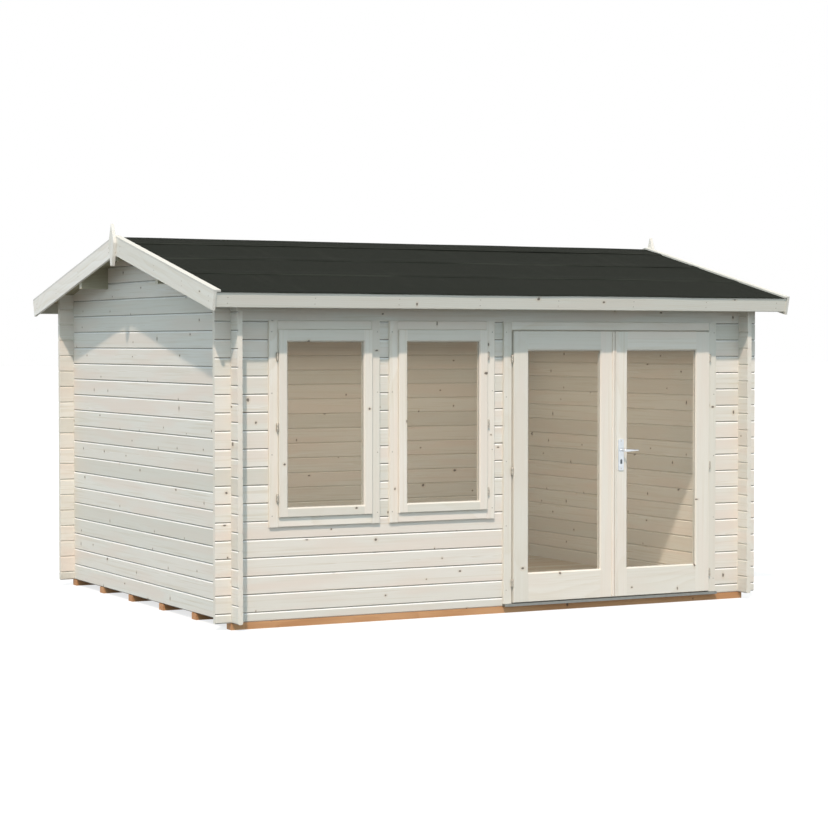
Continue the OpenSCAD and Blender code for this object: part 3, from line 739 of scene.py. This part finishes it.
def smooth_step(value, low, high):
    """Nought below low, one above high, and a smooth step between."""
    t = np.clip((value - low) / (high - low), 0.0, 1.0)
    return t * t * (3.0 - 2.0 * t)


def ripple(u, v, seed, waves=9, slow=1.5, quick=9.0):
    """Uneven height between about -1 and 1: a sum of sine waves of random length, direction and start."""
    luck = np.random.default_rng(seed)
    reach = luck.uniform(slow, quick, waves)
    turn = luck.uniform(0.0, 2 * math.pi, waves)
    start = luck.uniform(0.0, 2 * math.pi, waves)
    heights = [np.sin(k * (u * math.cos(a) + v * math.sin(a)) + s) for k, a, s in zip(reach, turn, start)]
    return np.sum(heights, axis=0) / math.sqrt(waves)


def eased_board(first, last, ease):
    """A board's profile across its width: a plain side, then a side with both its edges taken off."""
    return np.stack([first, last, last, last - ease, first + ease, first], -1)[:, None, :]


# Roof boards, laid from the ridge to the eaves

ROOF_BOARD_EDGE = 0.003
ROOF_BOARD_GAP = 0.0006
roof_board_finish = timber("roof_boards", lay_roof_boards, SHADE_DARKENED_ROOF_TONE, ROOF_BOARD, knot_gap=0.35)


def slope_z(out):
    """Height of the roof boards' undersides, out from the ridge."""
    return RIDGE_Z + SEAT - out * math.tan(ROOF_PITCH)


def on_slope(x, out, lift, side):
    """Points of a roof slope, out from the ridge, raised plumb by what the lift square to it takes."""
    return np.stack(np.broadcast_arrays(x, side * out, slope_z(out) + lift / math.cos(ROOF_PITCH)), -1)


def roof_boards(side, name, node):
    """Boards side by side along X: profiles with their two lower edges taken off, carried down the slope.

    They end plumb at the ridge and square to the slope at the eaves.
    """
    low, high = corners(node)
    out_near, out_far = np.sort(np.abs([low[1], high[1]]))
    edges = np.linspace(low[0], high[0], 1 + round((high[0] - low[0]) / ROOF_BOARD))
    x = eased_board(edges[:-1] + ROOF_BOARD_GAP / 2, edges[1:] - ROOF_BOARD_GAP / 2, ROOF_BOARD_EDGE)
    lift = np.array([DECK_T, DECK_T, ROOF_BOARD_EDGE, 0.0, 0.0, ROOF_BOARD_EDGE])
    out = np.stack([np.full_like(lift, out_near), out_far - (DECK_T - lift) * math.sin(ROOF_PITCH)])
    points = on_slope(x, out, lift, side)
    piece(name, points, run_faces(points), roof_board_finish, "cabin", (node,))


roof_boards(-1, "front_roof_boards", "front_roof_deck")
roof_boards(1, "rear_roof_boards", "rear_roof_deck")


# Roofing felt, in strips that lap down the slope

FELT_LAP = 0.08
FELT_LIFT = DECK_T + 2 * SEAT
FELT_WAVE = 0.0011
FELT_EDGE_WAVE = 0.0025
FELT_STATIONS = 141
FELT_SMOOTH = 40
LAP_RISE = 1.15
LAP_THINNING = 0.6
LAP_TAPER = 0.03
EAVE_DROOP = 0.0016
EAVE_BEND = 0.006
RIDGE_FOLD = 0.012
RIDGE_PLACES = 33
FOOT_SEED = 31
WAVE_SEED = 7
DROOP_SEED = 91
RIDGE_FOOT_SEED = 47
RIDGE_WAVE_SEED = 53


def felt_strips(side, name, node):
    """Each strip is a thin closed profile down the slope, carried along X over gentle waves.

    Its lower edge rises over the strip below it and thins out. The lowest strip droops a little
    at the eaves.
    """
    low, high = corners(node)
    eave = np.abs([low[1], high[1]]).max()
    x = np.linspace(low[0], high[0], FELT_STATIONS)[:, None]
    down = np.concatenate([np.linspace(0.0, 0.8, 9), np.linspace(0.84, 1.0, 11)])
    strips = []
    for number, (top, foot) in enumerate(zip(FELT_LAPS, (*FELT_LAPS[1:], eave))):
        lapped = 0.0 if foot == eave else 1.0
        foot_at = foot + lapped * FELT_EDGE_WAVE * ripple(x, 0.0 * x, FOOT_SEED + number)
        out = (top - FELT_LAP) + (foot_at - top + FELT_LAP) * down
        wave = FELT_WAVE * ripple(x, out, WAVE_SEED + number + 3 * side)
        lap = lapped * LAP_RISE * FELT_T * smooth_step(out, foot - FELT_LAP * 1.6, foot - FELT_LAP * 0.7)
        uneven = 1.0 + 0.5 * ripple(x, 0.0 * x, DROOP_SEED, 5, 2.0, 14.0)
        droop = (1.0 - lapped) * EAVE_DROOP * smooth_step(out, eave - EAVE_BEND, eave) * uneven
        lift = FELT_LIFT + wave + FELT_WAVE + lap - droop
        thick = FELT_T * (1.0 - lapped * LAP_THINNING * smooth_step(out, foot_at - LAP_TAPER, foot_at))
        over = on_slope(x, out, lift + thick, side)
        under = on_slope(x, out, lift, side)
        strips.append(np.concatenate([over, under[:, ::-1]], 1))
    points = np.stack(strips)
    piece(name, points, run_faces(points), felt, "cabin", (node,), FELT_SMOOTH)


def felt_ridge():
    """The strip over the ridge: a closed profile across it, rounded at the fold, carried along X."""
    low, high = corners("front_roof_felt")
    x = np.linspace(low[0], high[0], FELT_STATIONS)[:, None]
    across = np.linspace(-1.0, 1.0, RIDGE_PLACES)[None, :]
    foot = FELT_LAPS[0] + FELT_EDGE_WAVE * ripple(x, across * 9.0, RIDGE_FOOT_SEED, 5, 2.0, 8.0)
    y = across * foot
    fall = (np.sqrt(y * y + RIDGE_FOLD ** 2) - RIDGE_FOLD) * math.tan(ROOF_PITCH)
    lap = FELT_T * LAP_RISE * smooth_step(np.abs(across), 0.45, 0.75)
    wave = FELT_WAVE * ripple(x, y, RIDGE_WAVE_SEED)
    z = RIDGE_Z + (FELT_LIFT + FELT_WAVE) / math.cos(ROOF_PITCH) - fall + lap + wave
    thick = FELT_T * (1.0 - LAP_THINNING * smooth_step(np.abs(across), 0.87, 1.0))
    over = np.stack(np.broadcast_arrays(x, y, z + thick), -1)
    under = np.stack(np.broadcast_arrays(x, y, z), -1)
    points = np.concatenate([over, under[:, ::-1]], 1)[None]
    piece("ridge_felt", points, run_faces(points), felt, "cabin",
          ("front_roof_felt", "rear_roof_felt"), FELT_SMOOTH)


felt_strips(-1, "front_felt", "front_roof_felt")
felt_strips(1, "rear_felt", "rear_roof_felt")
felt_ridge()


# Floor boards

FLOOR_BOARD_EDGE = 0.0016
FLOOR_BOARD_GAP = 0.0006


def floor_boards():
    """Boards side by side along Y: profiles with their two upper edges taken off, carried along X.

    The first row stops at each side of the doorway.
    """
    low, high = corners("floor_deck")
    jamb_left = corners("door_left_jamb")[0][0] - SEAT
    jamb_right = corners("door_right_jamb")[1][0] + SEAT
    inner = corners("door_threshold")[1][1] + SEAT
    rows = np.linspace(inner, high[1], 1 + round((high[1] - inner) / FLOOR_BOARD))
    front = np.array([low[1], low[1], *rows[:-1]]) + FLOOR_BOARD_GAP / 2
    back = np.array([inner, inner, *rows[1:]]) - FLOOR_BOARD_GAP / 2
    start = np.array([low[0], jamb_right, *np.full(len(rows) - 1, low[0])])
    end = np.array([jamb_left, high[0], *np.full(len(rows) - 1, high[0])])
    x = np.stack([start, end], 1)[:, :, None]
    y = eased_board(front, back, FLOOR_BOARD_EDGE)
    eased_z = high[2] - FLOOR_BOARD_EDGE
    z = np.array([low[2], low[2], eased_z, high[2], high[2], eased_z])
    points = np.stack(np.broadcast_arrays(x, y, z), -1)
    finish = timber("floor_boards", lay_floor_boards, FLOOR_TONE, FLOOR_BOARD, knot_gap=0.4)
    piece("floor_boards", points, run_faces(points), finish, "cabin", ("floor_deck",))


floor_boards()


# Hinges

ROUND = 24
HINGE_SMOOTH = 50
HINGE_HALF = 0.0277
HALF_BARREL = (
    (0.0, 0.0),
    (HINGE_R - 0.0006, 0.0),
    (HINGE_R, 0.0006),
    (HINGE_R, HINGE_HALF - 0.0065),
    (HINGE_R - 0.0007, HINGE_HALF - 0.0058),
    (HINGE_R - 0.0007, HINGE_HALF - 0.0052),
    (HINGE_R - 0.0001, HINGE_HALF - 0.0046),
    (HINGE_R - 0.0008, HINGE_HALF - 0.0022),
    (HINGE_R - 0.0030, HINGE_HALF - 0.0006),
    (0.0, HINGE_HALF),
)
UPPER, LOWER = 1.0, -1.0


def hinge_heights(node, from_foot, from_head):
    """Three heights, spread evenly between a distance from a solid's foot and one from its head."""
    low, high = corners(node)
    return np.linspace(low[2] + from_foot, high[2] - from_head, 3)


def hinges(name, spots, body, stands_for):
    """Half barrels with a ring and a domed end: a profile of radius and height turned about upright axes.

    Each spot is an axis, the height where its halves meet, and which of the halves it is.
    """
    x, y, z, way = np.array(spots).T[:, :, None, None]
    radius, height = np.array(HALF_BARREL).T[:, :, None]
    turn = full_turn(ROUND)
    points = np.stack(np.broadcast_arrays(
        x + radius * np.cos(turn), y + radius * np.sin(turn), z + way * (SEAT / 2 + height)), -1)
    piece(name, points, ring_faces(points), hinge_steel, body, stands_for, HINGE_SMOOTH)


left_axis_x = middle(0, "left_door_hinges")
right_axis_x = middle(0, "right_door_hinges")
axis_y = middle(1, "left_door_hinges")
window_axes = (corners("frame_hinges")[0][0] + HINGE_R,
               corners("right_window_sash")[1][0] + HINGE_R + SEAT)
leaf_heights = hinge_heights("left_door_leaf", *LEAF_HINGES)
sash_heights = hinge_heights("left_window_sash", *SASH_HINGES)
hinges("left_leaf_hinges", [(left_axis_x, axis_y, z, UPPER) for z in leaf_heights],
       "left_door", ("left_door_hinges",))
hinges("right_leaf_hinges", [(right_axis_x, axis_y, z, UPPER) for z in leaf_heights],
       "right_door", ("right_door_hinges",))
hinges("jamb_hinges",
       [(x, axis_y, z, LOWER) for x in (left_axis_x, right_axis_x) for z in leaf_heights]
       + [(x, axis_y, z, way) for x in window_axes for z in sash_heights for way in (UPPER, LOWER)],
       "cabin", ("frame_hinges",))


# Handle plates and lock faces

PLATE_T = 0.007
PLATE_PLACES = 48
PLATE_SMOOTH = 35
PLATE_CORNER = 0.010
LEAST_CORNER = 0.0004
PLATE_STEPS = ((0.018, 0.0), (0.0, 0.0), (0.0, 0.0042),
               (0.0007, 0.0059), (0.0022, 0.0069), (0.0040, PLATE_T))
LOCK_DROP = 0.078
LOCK_SUNK = 0.002
LOCK_OUT = LOCK_SUNK + 0.002
LOCK_HALF_W = 0.008
LOCK_HALF_H = 0.0165
LOCK_CORNER = 0.0078
LOCK_STEPS = ((0.0, 0.0), (0.0, 0.0032), (0.0006, LOCK_OUT), (0.0052, LOCK_OUT), (0.0058, 0.0026))
HUB_R = 0.012
plate_x = middle(0, "door_handle_plates")
plate_z = middle(2, "door_handle_plates")
plate_high = corners("door_handle_plates")[1]
lever_low, lever_high = corners("door_lever")
lever_x = lever_low[0] + HUB_R
lever_z = middle(2, "door_lever")
leaf_low, leaf_high = corners("right_door_leaf")
LEAF_FACES = ((leaf_low[1], -1.0), (leaf_high[1], 1.0))


def raised_plate(centre_z, base, out, half_w, half_h, corner, steps):
    """A plate as rings: rectangles with round corners, each drawn in and raised by a step.

    A place on a ring is the centre of its corner's arc, plus the arc's radius at the place's angle.
    The last ring is drawn to the plate's middle line.
    """
    inset, height = np.array([*steps, steps[-1]]).T[:, :, None]
    turn = full_turn(PLATE_PLACES) + math.pi / PLATE_PLACES
    arc = np.maximum(corner - inset, LEAST_CORNER)
    x = np.sign(np.cos(turn)) * (half_w - inset - arc) + arc * np.cos(turn)
    z = np.sign(np.sin(turn)) * (half_h - inset - arc) + arc * np.sin(turn)
    x[-1] = 0.0
    z[-1] = np.clip(z[-1], half_w - half_h, half_h - half_w)
    return np.stack(np.broadcast_arrays(plate_x + x, base + out * height, centre_z + z), -1)


def plate_pair(name, centre_z, base, half_w, half_h, corner, steps, finish, stands_for):
    """A plate on each face of the right leaf, its base at a height over the face.

    Quads join its rings, and the first ring is closed as its back.
    """
    points = np.stack([raised_plate(centre_z, face + out * base, out, half_w, half_h, corner, steps)
                       for face, out in LEAF_FACES])
    faces = [*ring_faces(points), *numbered(points)[:, 0].tolist()]
    piece(name, points, faces, finish, "right_door", stands_for, PLATE_SMOOTH)


plate_pair("handle_plates", plate_z, SEAT, plate_high[0] - plate_x, plate_high[2] - plate_z, PLATE_CORNER,
           PLATE_STEPS, steel, ("door_handle_plates",))
plate_pair("lock_cylinders", lever_z - LOCK_DROP, SEAT + PLATE_T - LOCK_SUNK, LOCK_HALF_W, LOCK_HALF_H,
           LOCK_CORNER, LOCK_STEPS, lock_metal, ())


# Lever

LEVER_BEND = 0.013
LEVER_NECK_R = 0.0082
LEVER_TALL = 0.0108
LEVER_TIP_TALL = 0.0036
LEVER_DEEP = 0.0053
LEVER_TIP = 0.006
LEVER_SMOOTH = 50
NECK_STATIONS = 6
NECK_HIDDEN = 3
BEND_STATIONS = 9
ARM_STATIONS = 26
ROSE = (
    (0.0, 0.0),
    (HUB_R - 0.001, 0.0),
    (HUB_R, 0.0008),
    (HUB_R, 0.0052),
    (HUB_R - 0.0012, 0.0068),
    (LEVER_NECK_R + 0.0004, 0.0072),
)


def lever(face, out, far):
    """A rose and a bar on one face of the leaf, as rings.

    The rose is a profile of radius and height turned about the lever's axis. The bar is an ellipse
    carried out from the plate, round a bend and along to the tip. It flattens past the neck, its height
    falls evenly, and both its axes close along a quarter circle at the tip.
    """
    plate_face = face + out * (SEAT + PLATE_T)
    reach = abs(far - plate_face) - LEVER_DEEP
    neck = np.linspace(0.0, reach - LEVER_BEND, NECK_STATIONS)
    bend = np.linspace(0.0, math.pi / 2, BEND_STATIONS)[1:-1]
    arm = np.linspace(LEVER_BEND, lever_high[0] - lever_x, ARM_STATIONS)
    along = np.concatenate([np.zeros_like(neck), LEVER_BEND * (1.0 - np.cos(bend)), arm])
    bend_forth = reach - LEVER_BEND + LEVER_BEND * np.sin(bend)
    forth = np.concatenate([neck, bend_forth, np.full_like(arm, reach)])
    aim = np.concatenate([np.zeros_like(neck), bend, np.full_like(arm, math.pi / 2)])

    share = along / along[-1]
    grow = smooth_step(share, 0.02, 0.2)
    into_tip = np.clip((along - along[-1] + LEVER_TIP) / LEVER_TIP, 0.0, 1.0)
    close = np.sqrt(1.0 - into_tip ** 2)
    arm_tall = LEVER_TALL + (LEVER_TIP_TALL - LEVER_TALL) * share
    tall = (LEVER_NECK_R + (arm_tall - LEVER_NECK_R) * grow) * close
    deep = (LEVER_NECK_R + (LEVER_DEEP - LEVER_NECK_R) * grow) * close

    turn = full_turn(ROUND)
    bar = np.stack([
        lever_x + along[:, None] + (np.cos(aim) * deep)[:, None] * np.cos(turn),
        plate_face + out * (SEAT + forth[:, None] - (np.sin(aim) * deep)[:, None] * np.cos(turn)),
        lever_z + tall[:, None] * np.sin(turn)], -1)
    radius, height = np.array(ROSE).T[:, :, None]
    rose = np.stack(np.broadcast_arrays(
        lever_x + radius * np.cos(turn),
        plate_face + out * (SEAT + height),
        lever_z + radius * np.sin(turn)), -1)
    return np.concatenate([rose, bar[NECK_HIDDEN:]])


lever_ends = (lever_low[1], lever_high[1])
lever_points = np.stack([lever(face, out, far) for (face, out), far in zip(LEAF_FACES, lever_ends)])
piece("lever_handles", lever_points, ring_faces(lever_points), steel, "door_handle",
      ("door_lever",), LEVER_SMOOTH)


# Glazing seals

SEAL = 0.003
SEAL_GAP = 0.0001
SEAL_SECTION = ((0.0, 0.0), (0.0, 1.0), (0.6, 0.75), (1.0, 0.3), (1.0, 0.0), (0.0, 0.0))


def glazing_seal(node, body):
    """A thin strip round the outside of a pane: a rounded section carried round a rectangle."""
    low, high = corners(node)
    reach, stand = SEAL * np.array(SEAL_SECTION).T
    left, right = low[0] + GLAZING_GRIP + reach, high[0] - GLAZING_GRIP - reach
    foot, head = low[2] + GLAZING_GRIP + reach, high[2] - GLAZING_GRIP - reach
    y = low[1] - SEAL_GAP - stand
    rectangle = ((left, foot), (right, foot), (right, head), (left, head))
    points = np.stack([np.stack([x, y, z], -1) for x, z in rectangle], 1)[None]
    piece(node + "_seal", points, ring_faces(points), seal_rubber, body)


glazing_seal("left_window_glass", "cabin")
glazing_seal("right_window_glass", "cabin")
glazing_seal("left_door_glass", "left_door")
glazing_seal("right_door_glass", "right_door")


# Beads at the meeting edges of the leaves

BEAD_W = 0.0120
BEAD_T = 0.0100
BEAD_PAST = 0.0014
BEAD_ROUND = 0.0055
BEAD_SHORT = 0.004
BEAD_SMOOTH = 30
bead_finish = timber("meeting_beads", lay_upright(BEAD_NO), FRAME_TONE, width=0.03,
                     knot_gap=0.8, knot_share=0.3)


def meeting_bead(name, body, edge, inward, node):
    """A flat bead with one round edge, carried up a leaf's meeting edge."""
    low, high = corners(node)
    turn = np.linspace(0.0, math.pi / 2, 6)
    round_across = BEAD_W - BEAD_ROUND * (1.0 - np.sin(turn))
    round_stand = BEAD_T - BEAD_ROUND * (1.0 - np.cos(turn))
    across = np.array([-BEAD_PAST, -BEAD_PAST, *round_across, BEAD_W])
    stand = np.array([0.0, BEAD_T, *round_stand, 0.0])
    z = np.array([low[2] + BEAD_SHORT, high[2] - BEAD_SHORT])[:, None]
    points = np.stack(np.broadcast_arrays(edge + inward * across, low[1] - SEAT - stand, z), -1)[None]
    piece(name, points, run_faces(points), bead_finish, body, (), BEAD_SMOOTH)


meeting_bead("left_meeting_bead", "left_door", corners("left_door_leaf")[1][0], -1.0, "left_door_leaf")
meeting_bead("right_meeting_bead", "right_door", corners("right_door_leaf")[0][0], 1.0, "right_door_leaf")


# Screw heads

SCREW_HEAD = ((0.0040, -0.0004), (0.0040, 0.0003), (0.0034, 0.0007),
              (0.0015, 0.0008), (0.0012, 0.0002), (0.0, 0.0001))
SCREW_PLACES = 10
SCREW_SMOOTH = 40
ASLANT = (0.31, 0.59, 0.74)
CASING_MIDDLE = 0.0185
CASING_END = 0.07
JAMB_FOOT = 0.09
WINDOW_SCREWS = 4
JAMB_SCREWS = 5
VERGE_OUTS = (0.11, 0.74, 1.22, 1.66)
VERGE_DROPS = (0.022, 0.052)
FASCIA_END = 0.08
FASCIA_PAIRS = 8
FASCIA_RISES = (0.026, 0.062)
PLATE_SCREW_RISE = 0.094


def screws(name, spots, outward, body):
    """Domed heads with a sunk middle: a profile of radius and height turned about the way outward."""
    out = np.array(outward, float) / np.linalg.norm(outward)
    first = np.cross(out, ASLANT)
    first /= np.linalg.norm(first)
    second = np.cross(out, first)
    turn = full_turn(SCREW_PLACES)
    ring = np.cos(turn)[:, None] * first + np.sin(turn)[:, None] * second
    radius, height = np.array(SCREW_HEAD).T[:, :, None, None]
    points = np.array(spots)[:, None, None, :] + radius * ring + height * out
    piece(name, points, ring_faces(points), screw_metal, body, (), SCREW_SMOOTH)


def casing_screws():
    """Screws up the uprights of the frames, in the middle of each casing."""
    spots = []
    for node in ("left_window_frame", "right_window_frame"):
        low, high = corners(node)
        heights = np.linspace(low[2] + CASING_END, high[2] - CASING_END, WINDOW_SCREWS)
        uprights = (low[0] + CASING_MIDDLE, high[0] - CASING_MIDDLE)
        spots += [(x, low[1], z) for x in uprights for z in heights]
    for node, side in (("door_left_jamb", -1), ("door_right_jamb", 1)):
        low, high = corners(node)
        x = low[0] + CASING_MIDDLE if side < 0 else high[0] - CASING_MIDDLE
        heights = np.linspace(low[2] + JAMB_FOOT, high[2] - CASING_END, JAMB_SCREWS)
        spots += [(x, low[1], z) for z in heights]
    screws("casing_screws", spots, (0.0, -1.0, 0.0), "cabin")


def verge_screws(side, node):
    """Pairs of screws through the bargeboards of a gable: at the ends, the purlins and half way."""
    low, high = corners(node)
    x = low[0] if side < 0 else high[0]
    spots = [(x, way * out, slope_z(out) - drop)
             for way in (-1, 1) for out in VERGE_OUTS for drop in VERGE_DROPS]
    screws(node + "_screws", spots, (side, 0.0, 0.0), "cabin")


def fascia_screws(side, node):
    """Pairs of screws along a fascia, on its face square to the slope."""
    low, high = corners(node)
    lean, upright = math.sin(ROOF_PITCH), math.cos(ROOF_PITCH)
    top_out = np.abs([low[1], high[1]]).max()
    spots = [(x, side * (top_out - (FASCIA_H - rise) * lean), low[2] + rise * upright)
             for x in np.linspace(low[0] + FASCIA_END, high[0] - FASCIA_END, FASCIA_PAIRS)
             for rise in FASCIA_RISES]
    screws(node + "_screws", spots, (0.0, side * upright, -lean), "cabin")


def plate_screws(name, face, out):
    """Two screws through a handle plate, near its ends."""
    y = face + out * (SEAT + PLATE_T)
    spots = [(plate_x, y, plate_z + way * PLATE_SCREW_RISE) for way in (-1, 1)]
    screws(name, spots, (0.0, out, 0.0), "right_door")


casing_screws()
verge_screws(-1, "left_bargeboards")
verge_screws(1, "right_bargeboards")
fascia_screws(-1, "front_fascia")
fascia_screws(1, "rear_fascia")
plate_screws("plate_screws", *LEAF_FACES[0])
plate_screws("inner_plate_screws", *LEAF_FACES[1])
